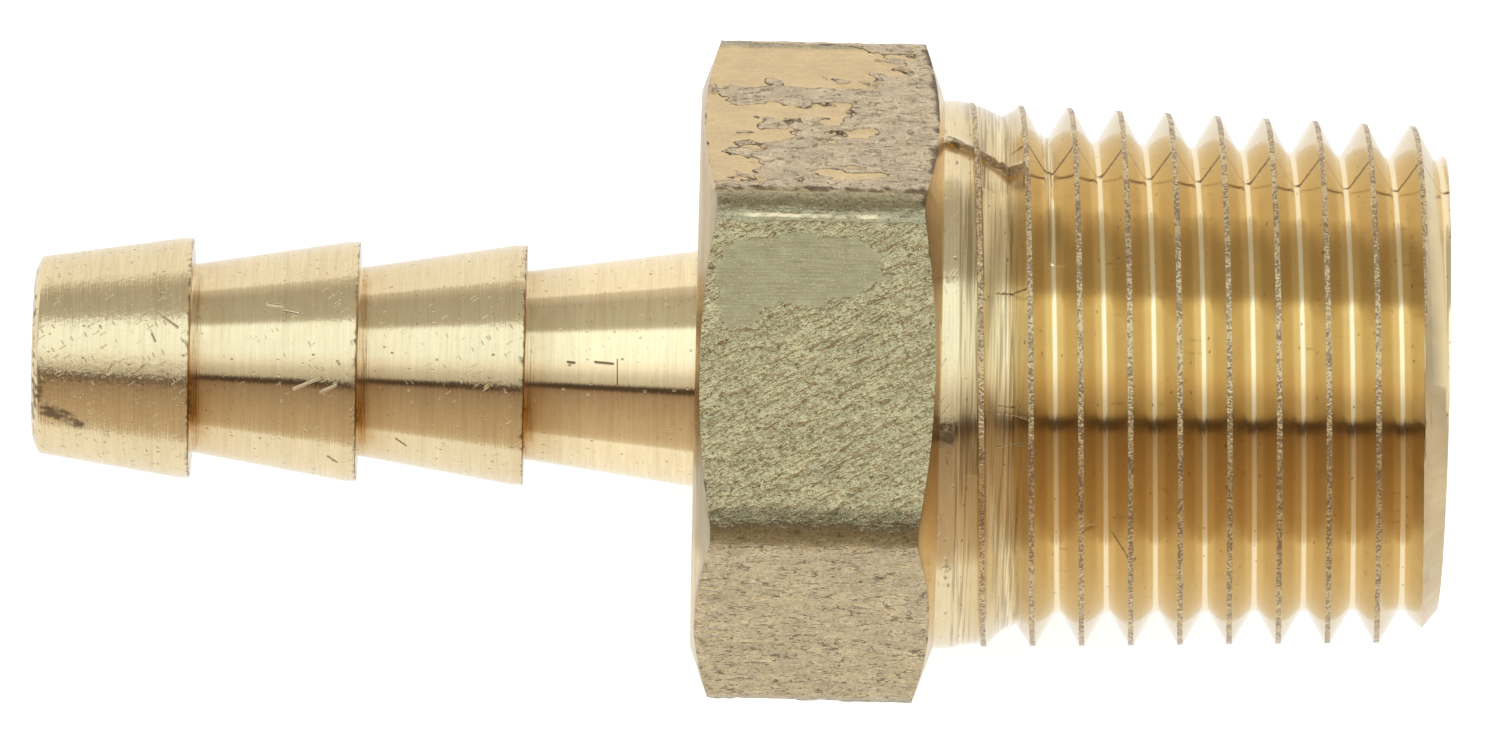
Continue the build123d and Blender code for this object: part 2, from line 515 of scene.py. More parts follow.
# The wavy line where a cutting edge of the die stopped, as a mark, and from where to where along
# x it fades in and its far side gains full strength.
STOP_LINE = ((-8.4, 32.2, 0.0, 32.2, 0.1),)
STOP_FADE = (-8.4, -8.2)
STOP_STRONG = (-7.0, -7.6)

# Heights of the wear in millimetres: scale and grit on the bar, the burr, and how much the
# crests waver in radius and along x.
SCALE_HEIGHT = 0.025
GRIT_HEIGHT = 0.014
BURR_HEIGHT = 0.14
CREST_WAVER = 0.008
CREST_SWAY = 0.01

# Where the corners of the bar begin, as distances from the middle of a side, and how far they
# take to blend in.
CORNER_FROM = 2.7
FRONT_CORNER_FROM = 2.77
LOWER_CORNER_FROM = 2.95
CORNER_BLEND = 0.12
# Painted shade beside the lower corner of the front, and a dark fringe beside the front corner of
# the upper side, as distance from the middle of the side and width, and the width of the dirt
# along the ends of the bar's skin.
PAINTED_CORNER_SHADE_LINE = (2.73, 0.14)
FRINGE_LINE = (2.74, 0.09)
HEM_WIDTH = 0.22
EDGE_DIRT_WIDTH = 0.05

# How far wear fades on the tail, in millimetres: the tint behind a shoulder and its dark core, the
# painted shade along the shoulder's edge, and the worn land before it. The first barb is worn all
# over.
TINT_FADE = 0.3
CORE_FADE = 0.06
LIP_FADE = 0.04
RUB_FADE = 1.1
FIRST_BARB_RUB = 1.6
# The turn at which the tint is strongest, and how far it fades from there, in degrees.
TINT_TURN = 124
TINT_SPREAD = 26

# Painted reflection: gold that the thread's flanks gain from light bouncing between them, as the
# share of each colour that is lost.
PAINTED_FLANK_GOLD = (0.0, 0.04, 0.13)

# The kinds of wear, and of painted shade, that the mesh carries by name.
WEAR = ("flake", "grit", "streak", "tint", "grime_and_painted_shade", "torn", "stop", "rub", "scored")


def around(points):
    """The x, the turn in degrees from +Y towards +Z, and the radius of points."""
    turn = np.degrees(np.arctan2(points[:, 2], points[:, 1])) % 360
    return points[:, 0], turn, np.hypot(points[:, 1], points[:, 2])


def weather_bar(s, colours, points):
    """Wear of the bar: scale, grit and streaks by side, dull corners and dirty edges, with painted
    shade on the chamfers and beside the front's lower corner.
    """
    x, turn, _ = around(points)
    side = np.floor(turn / 60).astype(int) % 6
    across = s.flats / 2 * np.tan(np.radians(turn - 60 * side - 30))
    rough = clouds(points, 0.2, 3)
    ragged = across + 0.06 * clouds(points, (0.45, 0.2, 0.2))
    broad = 1.3 * clouds(points, (1.8, 0.9, 0.9), 2)
    bias = np.select(
        [side == UPPER, side == BACK_LOWER, side == BACK_UPPER],
        [spots(x, across, SCALE_PATCHES) - 0.1, broad, broad - 0.3],
        -3.0,
    )
    bias -= 3 * smooth(ragged, CORNER_FROM, CORNER_FROM + 0.1)
    flake = np.clip(0.5 + 0.6 * (clouds(points, (0.6, 0.3, 0.3)) + bias), 0, 1)
    plain = spots(x, across, PLAIN_PATCHES) + 0.2 * clouds(points, 0.3)
    gritty = 1 - smooth(plain, 0.3, 0.6)
    grit = np.select(
        [side == FRONT, side == TABLE_SIDE, side == LOWER], [gritty, 0.9, 0.52], 0.1 + 0.5 * flake
    )
    starts = [FRONT_CORNER_FROM, LOWER_CORNER_FROM]
    start = np.select([side == FRONT, side == LOWER], starts, CORNER_FROM)
    corner = smooth(np.abs(ragged), start, start + CORNER_BLEND)
    # Painted shade: a dark line on the front beside its lower corner, where that corner shows the
    # dark part of the room.
    painted_corner_shade = 0.55 * (side == FRONT) * bell(ragged, *PAINTED_CORNER_SHADE_LINE)
    fringe = (side == UPPER) * bell(ragged, *FRINGE_LINE)
    tone = np.array([colours.film, colours.olive, colours.tan])[side % 3]
    tone *= (1 - 0.14 * (side == FRONT) * (1 - gritty))[:, None]
    tone += (np.array(colours.worn) - tone) * corner[:, None]
    tone *= (1 - painted_corner_shade)[:, None]
    tail_edge, thread_edge = s.bar_ends(np.radians(turn))
    on_tail_side, on_thread_side = x < tail_edge - ON_EDGE, x > thread_edge + ON_EDGE
    # Painted shade: the chamfers' brass is lighter or darker by turn.
    shade = np.interp(turn, *THREAD_CHAMFER_PAINTED_SHADE)
    shade = np.where(on_thread_side, shade, np.interp(turn, *TAIL_CHAMFER_PAINTED_SHADE))
    bevel = np.array(colours.brass) * shade[:, None]
    dull = on_tail_side * smooth(turn, *DULL_FROM) * (1 - smooth(turn, *DULL_TO))
    bevel += (np.array(colours.olive) - bevel) * dull[:, None]
    cut = on_tail_side | on_thread_side
    edge = np.minimum(np.abs(x - tail_edge), np.abs(x - thread_edge))
    hem = (side == UPPER) * ~cut * bell(x, thread_edge, HEM_WIDTH)
    grime_and_painted_shade = bell(edge, 0, EDGE_DIRT_WIDTH) * (0.4 + 0.6 * rough + 0.5 * broad)
    grime_and_painted_shade += 1.3 * (fringe * ~cut) * (0.75 + 0.7 * rough)
    grime_and_painted_shade += 0.75 * hem * (0.85 + 0.8 * rough)
    return {
        "tone": np.where(cut[:, None], bevel, tone),
        "flake": flake,
        "grit": grit * (1 - 0.9 * corner) * (1 - 0.6 * painted_corner_shade),
        "streak": np.select(
            [side == LOWER, side == BACK_UPPER, side == UPPER], [1.0, 0.8, 0.15], 0.0
        ),
        "tint": np.where(on_thread_side, 0.4, 0.18) * cut,
        "grime_and_painted_shade": np.clip(grime_and_painted_shade, 0, 1),
        "rub": corner * ~cut,
        "lift": SCALE_HEIGHT * smooth(flake, 0.4, 0.6) + GRIT_HEIGHT * rough * (0.4 + grit),
    }


def weather_tail(s, colours, points):
    """Wear of the tail: tint behind the shoulders, stains and worn barbs, and painted shade along
    the edges of the shoulders and the tip.
    """
    x, turn, radius = around(points)
    tint, core, painted_edge_shade, rub = np.zeros((4, len(x)))
    for shoulder in s.shoulders:
        off = x - shoulder
        tint += (off > -0.01) * np.exp(-np.maximum(off, 0) / TINT_FADE)
        core += (off > -0.01) * np.exp(-np.maximum(off, 0) / CORE_FADE)
        # Painted shade along each shoulder's edge, and below, along the edge of the tip.
        painted_edge_shade += bell(off, 0, LIP_FADE) * (radius > s.barb / 2 - 0.06)
        rub = np.maximum(rub, (off < 0.01) * np.exp(np.minimum(off, 0) / RUB_FADE))
    painted_edge_shade += 0.8 * bell(x - s.tail_end, 0.05, 0.05)
    low = bell(turn, TINT_TURN, TINT_SPREAD)
    patchy = clouds(points, (0.2, 0.7, 0.7))
    stains = spots(x, turn, TAIL_STAINS) * (1 + 0.9 * clouds(points, 0.12))
    grime_and_painted_shade = stains + painted_edge_shade * (0.5 + 0.6 * clouds(points, 0.15)) + core * low * (0.6 + 0.6 * patchy)
    bright = 1 + 0.13 * smooth(x, s.shoulders[2] + 0.3, s.shoulders[2] + 1.5)
    return {
        "tone": np.array(colours.brass) * bright[:, None],
        "tint": np.clip(tint * (0.35 + 0.4 * patchy + 0.9 * low), 0, 1),
        "grime_and_painted_shade": np.clip(grime_and_painted_shade, 0, 1),
        "rub": np.where(x < s.shoulders[0], FIRST_BARB_RUB, rub),
    }


def weather_thread(s, colours, points):
    """Wear of the neck and the thread: scored run-out, the burr and the line where the die
    stopped. The tone carries painted light: deeper gold and shade towards the crests, a highlight
    on the roots and shade by turn on the end chamfer. A painted shadow lies under the burr."""
    x, turn, radius = around(points)
    start, end = np.array(BURR_START), np.array(BURR_END)
    share = np.clip((x - start[0]) / (end[0] - start[0]), 0, 1)
    off = np.radians(turn - start[1] - share * (end[1] - start[1])) * radius
    beyond = np.maximum(np.maximum(start[0] - x, x - end[0]), 0)
    ends = bell(beyond, 0, 0.08) * (1 - 0.6 * bell(share, 0.5, 0.06))
    lumps = clouds(points, 0.14)
    torn = np.clip(bell(off, 0, BURR_WIDTH) * ends * (0.8 + 0.8 * lumps), 0, 1)
    # Painted shadow: an orange-brown patch under the burr, laid in the tint.
    painted_burr_shadow = np.clip(bell(off, 0.17, 0.13) * ends * (0.8 + 0.5 * lumps), 0, 1)
    along = s.along(x, np.radians(turn)) * s.pitch
    away = np.abs(along)
    threaded = x > s.neck_end + 0.05
    crest = threaded & (away < s.crest * 0.6) & (x < -0.1)
    flank = (away > s.crest * 0.6) & (away < s.pitch / 2 - 0.02)
    first = smooth(x, *STOP_STRONG)
    root = smooth(away, s.foot - 0.02, s.foot + 0.03)
    # Painted light: the tone is darker towards the crests and brighter on the roots, for the
    # thread's shade and its highlights.
    light = 0.88 + 0.08 * smooth(away, s.crest / 2, s.foot) + 0.18 * root
    bevel = (x > -END_CHAMFER[0] - 0.1) & (radius > s.end_chamfer(x) - ON_SURFACE)
    # Painted shade on the end chamfer by turn, with random mottling.
    shade = np.interp(turn, *END_CHAMFER_PAINTED_SHADE) * (1 + 0.12 * clouds(points, 0.25))
    light = np.where(bevel, shade, light)
    # Painted reflection: more gold on the flanks, for light bouncing between them.
    gold = ((threaded & ~bevel) * (1 - root))[:, None] * np.array(PAINTED_FLANK_GOLD)
    scored = (np.abs(radius - s.core(x)) < ON_SURFACE) * smooth(x, s.neck_end, s.neck_end + 0.04)
    # Stains on the neck, and painted shade on its dark band.
    stains = spots(x, turn, NECK_STAINS_AND_SHADE) * (1 + 0.8 * clouds(points, 0.1))
    return {
        "tone": np.array(colours.brass) * np.where(threaded, light, 1.0)[:, None] * (1 - gold),
        "tint": np.maximum(painted_burr_shadow, 0.14 * bevel),
        "grime_and_painted_shade": np.clip(stains, 0, 1),
        "torn": torn,
        "stop": flank * np.where(along < 0, 1.0, 0.3 + 0.7 * first) * smooth(x, *STOP_FADE),
        "rub": np.where(threaded, 0.0, 0.6),
        "scored": scored * 1.0,
        "lift": BURR_HEIGHT * torn + crest * CREST_WAVER * lumps,
        "sway": crest * (away > s.crest * 0.4) * CREST_SWAY * clouds(points, 0.1),
    }


def weather(s, points, colours):
    """What tools and time left on each point, with some painted light and shade in its tone: its
    metal colour as tone, its wear by name, and its lift outwards and sway along x in millimetres."""
    x, _, radius = around(points)
    found = {name: np.zeros(len(points)) for name in (*WEAR, "lift", "sway")}
    found["tone"] = np.tile(np.array(colours.brass), (len(points), 1))
    bar = (x > s.hex_start + 2 * ON_EDGE) & (x < s.hex_end - 2 * ON_EDGE) & (radius > s.face / 2)
    zones = (
        (bar, weather_bar),
        (x < s.hex_start - ON_EDGE, weather_tail),
        (x > s.hex_end - ON_EDGE, weather_thread),
    )
    for zone, weather_zone in zones:
        for name, values in weather_zone(s, colours, points[zone]).items():
            found[name][zone] = values
    return found


def fitting_mesh(s, colours):
    """Mesh of the piece in metres, with its wear as attributes that the finishes read."""
    points, polygons, finishes = fitting_skin(s)
    found = weather(s, points, colours)
    out = points * (0, 1, 1)
    points = points + out / np.linalg.norm(out, axis=1)[:, None] * found["lift"][:, None]
    points[:, 0] += found["sway"]
    mesh = bpy.data.meshes.new("fitting")
    mesh.from_pydata((points * MM).tolist(), [], polygons)
    mesh.polygons.foreach_set("material_index", np.array(finishes, dtype=np.int32))
    mesh.polygons.foreach_set("use_smooth", np.ones(len(finishes), dtype=bool))
    mesh.set_sharp_from_angle(angle=math.radians(SHARP_ANGLE))
    for name in WEAR:
        mesh.attributes.new(name, "FLOAT", "POINT").data.foreach_set("value", found[name])
    rgba = np.column_stack([found["tone"], np.ones(len(points))])
    mesh.attributes.new("tone", "FLOAT_COLOR", "POINT").data.foreach_set("color", rgba.ravel())
    mesh.update()
    return mesh


def add(tree, kind, inputs=(), out=0, **settings):
    """Adds a node with its settings and links, and returns its output. An input is a value or
    the output of another node."""
    made = tree.nodes.new("ShaderNode" + kind)
    for key, value in settings.items():
        setattr(made, key, value)
    for key, value in dict(inputs).items():
        if isinstance(value, bpy.types.NodeSocket):
            tree.links.new(value, made.inputs[key])
        else:
            made.inputs[key].default_value = value
    return made.outputs[out] if made.outputs else None


class Finish:
    """A material of the piece, built up from patterns whose sizes are in millimetres, and from
    the wear that the mesh carries by name."""

    def __init__(self, name, *wear):
        self.material = bpy.data.materials.new(name)
        self.material.use_nodes = True
        self.tree = self.material.node_tree
        self.tree.nodes.clear()
        spot = add(self.tree, "TexCoord", out="Object")
        self.place = add(self.tree, "VectorMath", {0: spot, "Scale": 1 / MM}, operation="SCALE")
        self.tone = add(self.tree, "Attribute", out="Color", attribute_name="tone")
        self.wear = [add(self.tree, "Attribute", out="Fac", attribute_name=n) for n in wear]

    def unrolled(self, radius):
        """The place with the skin rolled out flat: x, and the way round at this radius."""
        x, y, z = add(self.tree, "SeparateXYZ", {0: self.place}).node.outputs
        turn = add(self.tree, "Math", {0: z, 1: y}, operation="ARCTAN2")
        return add(self.tree, "CombineXYZ", {0: x, 1: self.sum((turn, radius))})

    def grain(self, size, detail=2.0, place=None):
        """Noise from 0 to 1 with features of this size, or of these sizes along x, y and z."""
        size = size if isinstance(size, tuple) else (size,) * 3
        inputs = {0: place or self.place, 1: [1 / v for v in size]}
        scaled = add(self.tree, "VectorMath", inputs, operation="MULTIPLY")
        return add(self.tree, "TexNoise", {"Vector": scaled, "Scale": 1.0, "Detail": detail})

    def flecks(self, place, size, apart, slant=0.0):
        """Mask of flecks of this length and width, lying at a slant in degrees on a flat skin.
        They are about so many sizes apart, and differ in strength."""
        inputs = {"Vector": place, "Angle": math.radians(slant)}
        slanted = add(self.tree, "VectorRotate", inputs, rotation_type="Z_AXIS")
        inputs = {0: slanted, 1: (1 / size[0], 1 / size[1], 0)}
        scaled = add(self.tree, "VectorMath", inputs, operation="MULTIPLY")
        inputs = {"Vector": scaled, "Scale": 1 / apart}
        off = add(self.tree, "TexVoronoi", inputs, voronoi_dimensions="2D")
        chance = add(self.tree, "SeparateColor", {0: off.node.outputs["Color"]})
        inside = self.where(0.5 / apart, 0.25 / apart, (off, 1.0))
        return self.sum((inside, self.where(0.4, 0.9, (chance, 1.0))))

    def scratches(self, place, radius, marks):
        """Mask of straight scratches on a skin rolled out flat at this radius."""
        total = 0.0
        for x0, turn0, x1, turn1, width in marks:
            start = Vector((x0, math.radians(turn0) * radius, 0))
            run = Vector((x1, math.radians(turn1) * radius, 0)) - start
            rest = add(self.tree, "VectorMath", {0: place, 1: start}, operation="SUBTRACT")
            inputs = {0: rest, 1: run / run.length_squared}
            share = add(self.tree, "VectorMath", inputs, "Value", operation="DOT_PRODUCT")
            inputs = {0: run, "Scale": add(self.tree, "Clamp", {0: share})}
            foot = add(self.tree, "VectorMath", inputs, operation="SCALE")
            off = add(self.tree, "VectorMath", {0: rest, 1: foot}, "Value", operation="DISTANCE")
            mark = self.where(0.7 * width, 0.0, (off, 1.0))
            total = add(self.tree, "Math", {0: mark, 1: total}, operation="MAXIMUM")
        return total

    def sum(self, *terms):
        """Sum of terms. A term is a number, or two factors that are outputs or numbers."""
        total = sum(term for term in terms if not isinstance(term, tuple))
        for term in terms:
            if isinstance(term, tuple):
                inputs = {0: term[0], 1: term[1], 2: total}
                total = add(self.tree, "Math", inputs, operation="MULTIPLY_ADD")
        return total

    def where(self, low, high, *terms):
        """Mask that goes smoothly from 0 to 1 while the sum of terms goes from low to high."""
        inputs = {"Value": self.sum(*terms), "From Min": low, "From Max": high}
        return add(self.tree, "MapRange", inputs, interpolation_type="SMOOTHSTEP")

    def laid(self, colour, *films):
        """The colour with films laid over it in turn, each a share from 0 to 1 and a colour."""
        for share, film in films:
            film = film if isinstance(film, bpy.types.NodeSocket) else (*film, 1)
            colour = add(self.tree, "Mix", {0: share, 6: colour, 7: film}, 2, data_type="RGBA")
        return colour

    def metal(self, colour, roughness, height, drawn=0.0):
        """Ends the material in a metal of this colour with a surface height in millimetres.
        Tool marks around the bore draw its highlights out along the bore."""
        bump = add(self.tree, "Bump", {"Height": height, "Distance": MM, "Strength": 1.0})
        inputs = {"Base Color": colour, "Metallic": 1.0, "Roughness": roughness, "Normal": bump}
        if drawn:
            inputs["Tangent"] = add(self.tree, "Tangent", direction_type="RADIAL", axis="X")
            inputs["Anisotropic"] = drawn
            inputs["Anisotropic Rotation"] = 0.25
        shader = add(self.tree, "BsdfPrincipled", inputs)
        add(self.tree, "OutputMaterial", {"Surface": shader})
        return self.material


def turned_brass(colours):
    """Free-cutting brass turned on a lathe and left bright. It shows the room in long bands,
    crossed by fine tool lines, with small pits and scratches and an orange tint behind the
    shoulders."""
    f = Finish("turned brass", "tint", "grime_and_painted_shade", "torn", "rub")
    tint, grime_and_painted_shade, torn, rub = f.wear
    skin = f.unrolled(TAIL_RADIUS)
    # Real tool lines are finer than a pixel. These are drawn coarser, so that they show.
    lines = f.grain((0.035, 0.8, 0.8))
    bands = f.grain((0.25, 4.0, 4.0))
    dings = f.grain(0.09, 3.0)
    pits = f.flecks(skin, (0.07, 0.05), 7.0)
    stripes = f.grain((0.1, 2.5, 2.5), 3.0)
    cuts = f.flecks(skin, (0.18, 0.025), 4.5, 35)
    nicks = f.flecks(skin, (0.12, 0.03), 4.5, -60)
    bright = f.scratches(skin, TAIL_RADIUS, BRIGHT_SCRATCHES)
    dark = f.scratches(skin, TAIL_RADIUS, DARK_NICKS)
    shade = f.sum((lines, 0.3), (bands, 0.12), (dings, 0.14), 0.72)
    colour = add(f.tree, "VectorMath", {0: f.tone, "Scale": shade}, operation="SCALE")
    # Soiled carries dirt, and the painted shade along the tail's edges.
    soiled = f.where(0.2, 0.8, (grime_and_painted_shade, 1.0), (torn, 1.2), (dings, 1.3), -0.65)
    colour = f.laid(
        colour,
        (f.sum((f.where(0.45, 0.75, (stripes, 1.0)), 0.14)), colours.tint),
        (f.sum((tint, f.sum((lines, 0.9), 0.55))), colours.tint),
        (f.sum((pits, 0.5), (nicks, 0.3)), colours.grime_and_painted_shade),
        (f.sum((soiled, 0.75), (dark, 0.8)), colours.grime_and_painted_shade),
    )
    height = f.sum(
        (lines, f.sum((rub, 0.006), 0.004)),
        (f.sum((dings, 0.003), (cuts, -0.008), (nicks, -0.01)), rub),
        (f.sum((pits, -0.01), (dark, -0.01)), 1.0),
        (bright, -0.03),
        (torn, 0.01),
    )
    roughness = f.sum((tint, 0.15), (soiled, 0.3), (rub, 0.06), 0.1)
    return f.metal(colour, roughness, height, 0.6)


def faced_brass(colours):
    """Brass faced and chamfered with a form tool. Coarser rings around the bore and a thin
    orange tarnish make it matte."""
    f = Finish("faced brass", "tint", "grime_and_painted_shade")
    tint, grime_and_painted_shade = f.wear
    across = add(f.tree, "VectorMath", {0: f.place, 1: (0, 1, 1)}, operation="MULTIPLY")
    radius = add(f.tree, "VectorMath", {0: across}, "Value", operation="LENGTH")
    outward = add(f.tree, "CombineXYZ", {0: radius})
    spread = add(f.tree, "VectorMath", {0: f.place, 1: outward}, operation="ADD")
    # The rings of the form tool are drawn coarser than they are, so that they show.
    rings = f.grain((0.15, 3.0, 3.0), 3.0, spread)
    film = f.grain(0.6, 3.0)
    shade = f.sum((rings, 0.6), (film, 0.2), 0.55)
    # The tone carries the painted shade of the chamfers.
    colour = add(f.tree, "VectorMath", {0: f.tone, "Scale": shade}, operation="SCALE")
    soiled = f.where(0.5, 0.9, (grime_and_painted_shade, 1.0), (rings, 0.4), -0.2)
    colour = f.laid(
        colour,
        (f.sum((tint, 0.9), (f.where(0.4, 0.8, (film, 1.0)), 0.2)), colours.tint),
        (f.sum((soiled, 0.75)), colours.grime_and_painted_shade),
    )
    return f.metal(colour, 0.27, f.sum((rings, 0.006)), 0.4)


def drawn_skin(colours):
    """Skin of cold-drawn brass bar, tarnished in store. Grey-brown scale in ragged layers stands
    on a smooth amber film, the front is gritty with small bright facets, and the die left streaks
    and cracks along the bar. Shade is painted between the grains, round the scale and at the foot
    of its ledges, and a highlight is painted along the upper front edge."""
    f = Finish("drawn bar skin", "flake", "grit", "streak", "grime_and_painted_shade", "rub")
    flaked, gritty, streaked, grime_and_painted_shade, rub = f.wear
    # The finest grit is too small to show, so it is drawn coarser, at two or three pixels.
    grit = f.grain(0.065, 4.0)
    crumbs = f.grain(0.03, 2.0)
    lumps = f.grain(0.17, 3.0)
    humps = f.grain((0.6, 0.35, 0.35), 3.0)
    layers = f.grain((0.5, 0.2, 0.2), 4.0)
    streaks = f.grain((0.8, 0.05, 0.05), 3.0)
    folds = f.grain((0.5, 0.16, 0.16), 4.0)
    inputs = {"Vector": f.place, "Angle": math.radians(-30)}
    slanted = add(f.tree, "VectorRotate", inputs, rotation_type="Z_AXIS")
    ridges = f.grain((0.38, 0.13, 0.3), 4.0, slanted)
    level = f.sum((flaked, 1.0), (layers, 0.4), (lumps, 0.2), (grit, 0.2), -0.4)
    scale = f.where(0.48, 0.52, (level, 1.0))
    # Painted shade: rim marks a dark outline round the scale, and foot darkens the foot of each of
    # its ledges.
    rim = f.sum((f.where(0.4, 0.46, (level, 1.0)), f.where(0.53, 0.49, (level, 1.0))))
    heap = f.sum((layers, 4.0), (lumps, 1.0), (grit, 0.25))
    ledge = add(f.tree, "Math", {0: heap}, operation="FRACT")
    foot = f.sum((scale, f.where(0.22, 0.04, (ledge, 1.0))))
    rough = f.where(0.4, 0.55, (gritty, 1.0), (lumps, 0.5), (grit, 0.3), -0.4)
    fold = add(f.tree, "Math", {0: f.sum((folds, 1.0), -0.5)}, operation="ABSOLUTE")
    cracks = f.sum((f.where(0.03, 0.005, (fold, 1.0)), f.where(0.42, 0.58, (lumps, 1.0))))
    cracked = f.sum((cracks, f.sum((streaked, 1.0), (rough, 0.35))))
    coarse = f.sum((rough, 0.7), (rub, 0.45), 0.2)
    # The skin and the scale are lighter on the grains and lumps that stand up and darker between
    # them: partly random tone, partly painted shade of the relief.
    shade = f.sum(
        (grit, coarse),
        (lumps, f.sum((rough, 0.3), 0.3)),
        (humps, f.sum((rough, 0.6), 0.3)),
        (rough, f.sum((ridges, 0.7))),
        (streaks, 0.22),
        (coarse, -0.5),
        (rough, -0.52),
        0.58,
    )
    skin = add(f.tree, "VectorMath", {0: f.tone, "Scale": shade}, operation="SCALE")
    shade = f.sum((grit, 1.1), (lumps, 0.9), (humps, 0.9), (crumbs, 0.5), -0.38)
    bark = add(f.tree, "VectorMath", {0: colours.oxide, "Scale": shade}, operation="SCALE")
    # Painted highlight: a broken bright line of brass along the upper front edge of the bar.
    y = add(f.tree, "SeparateXYZ", {0: f.place}, "Y")
    off = f.sum((y, 1.0), (lumps, 0.06), -PAINTED_HIGHLIGHT_EDGE - 0.03)
    painted_edge_highlight = f.where(0.05, 0.02, (add(f.tree, "Math", {0: off}, operation="ABSOLUTE"), 1.0))
    # Painted shade between the grains of the grit.
    painted_grit_shade = f.where(0.42, 0.34, (grit, 1.0))
    colour = f.laid(
        skin,
        (f.sum((f.where(0.58, 0.68, (crumbs, 1.0)), f.sum((rough, 0.6)))), colours.brass),
        (f.sum((painted_grit_shade, f.sum((rough, 0.45), (rub, 0.4)))), colours.grime_and_painted_shade),
        (f.sum((painted_edge_highlight, f.where(0.35, 0.65, (humps, 1.0), (lumps, 0.4), -0.2))), colours.brass),
        (scale, bark),
        (f.sum((f.where(0.63, 0.7, (crumbs, 1.0)), 0.7)), colours.brass),
        (f.sum((rim, f.where(0.35, 0.6, (layers, 1.0)))), colours.grime_and_painted_shade),
        (f.sum((foot, 0.7)), colours.grime_and_painted_shade),
        (f.sum((cracked, 0.62)), colours.grime_and_painted_shade),
        (f.sum((f.where(0.5, 0.9, (grime_and_painted_shade, 1.0), (grit, 0.4), -0.2), 0.8)), colours.grime_and_painted_shade),
    )
    relief = f.sum((scale, 1.3), (rough, 0.7), (rub, 0.25), 0.05)
    height = f.sum(
        (f.sum((grit, 0.02), (lumps, 0.09), (crumbs, 0.01), -0.06), relief),
        (f.sum((ridges, 0.1), -0.05), rough),
        (f.sum((ledge, scale)), 0.035),
        (scale, 0.02),
        (streaks, 0.004),
        (cracked, -0.012),
    )
    return f.metal(colour, f.sum((scale, 0.14), (rough, 0.03), 0.24), height)


def die_cut_thread(colours):
    """Flanks and roots cut and burnished with a die: brass of a deep gold, because light bounces
    between the flanks, and the tone paints in more of that gold, with shade towards the crests and
    a highlight on the roots. Faint lines run along the thread, and metal is torn where the die
    stopped."""
    f = Finish("die cut thread", "tint", "torn", "stop", "scored")
    tint, torn, stop, scored = f.wear
    grain = f.grain(0.06, 3.0)
    shift = add(f.tree, "CombineXYZ", {1: f.sum((grain, 0.12), -0.06)})
    skin = add(f.tree, "VectorMath", {0: f.unrolled(THREAD_RADIUS), 1: shift}, operation="ADD")
    # The die's own lines are finer than a pixel. These are drawn coarser, so that they show.
    lines = f.grain((0.03, 0.9, 0.9))
    scores = f.grain((0.05, 2.5, 2.5), 4.0)
    cloud = f.grain(0.35, 3.0)
    pits = f.flecks(skin, (0.05, 0.06), 7.0)
    marks = f.scratches(skin, THREAD_RADIUS, THREAD_MARKS)
    stopped = f.sum((stop, f.scratches(skin, THREAD_RADIUS, STOP_LINE)))
    burr = f.where(0.32, 0.52, (torn, 1.0), (grain, 0.6), -0.3)
    smoke = f.sum((scored, f.where(0.55, 0.4, (scores, 1.0))))
    shade = f.sum((lines, 0.05), (cloud, 0.1), 0.93)
    colour = add(f.tree, "VectorMath", {0: f.tone, "Scale": shade}, operation="SCALE")
    shade = f.sum((grain, 1.7), -0.15)
    lump = add(f.tree, "VectorMath", {0: colours.oxide, "Scale": shade}, operation="SCALE")
    colour = f.laid(
        colour,
        (f.sum((smoke, 0.45)), colours.grime_and_painted_shade),
        # The tint carries heat tint, and the painted shadow under the burr.
        (f.sum((tint, 0.85)), colours.tint),
        (burr, lump),
        (f.sum((burr, 0.4)), colours.tint),
        (f.sum((stopped, 0.95)), colours.tint),
        (f.sum((pits, 0.6), (marks, 0.7), (stopped, 0.75)), colours.grime_and_painted_shade),
    )
    height = f.sum(
        (lines, 0.001),
        (f.sum((scored, scores)), 0.02),
        (f.sum((burr, grain)), 0.05),
        (f.sum((stopped, 1.0), (marks, 1.0)), -0.012),
    )
    roughness = f.sum((burr, 0.2), (tint, 0.1), (scored, 0.05), 0.16)
    return f.metal(colour, roughness, height, 1.0)


def thread_crest(colours):
    """Outside of the bar left between the cuts as narrow flats: dull grey-brown and grainy, with
    grains worn bright."""
    f = Finish("thread crest")
    grain = f.grain(0.05, 3.0)
    cloud = f.grain(0.3, 2.0)
    bright = f.where(0.46, 0.56, (grain, 1.0), (cloud, 0.6), -0.3)
    inputs = {0: colours.oxide, "Scale": f.sum((grain, 1.4), (cloud, 0.5), -0.2)}
    dark = add(f.tree, "VectorMath", inputs, operation="SCALE")
    colour = f.laid(dark, (0.2, colours.tint), (f.sum((bright, 0.85)), f.tone))
    return f.metal(colour, f.sum((bright, -0.08), 0.25), f.sum((grain, 0.028)))


class FITTING_OT_body(bpy.types.Operator):
    """Builds the turned brass piece and its finishes"""

    bl_idname = "fitting.body"
    bl_label = "Build fitting"

    def execute(self, context):
        colours = context.scene.fitting_colours
        mesh = fitting_mesh(Shape(context.scene.fitting_sizes), colours)
        piece = bpy.data.objects.new("fitting", mesh)
        context.scene.collection.objects.link(piece)
        for finish in (turned_brass, faced_brass, drawn_skin, die_cut_thread, thread_crest):
            mesh.materials.append(finish(colours))
        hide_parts(NODE)
        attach(piece, "root")
        return {"FINISHED"}


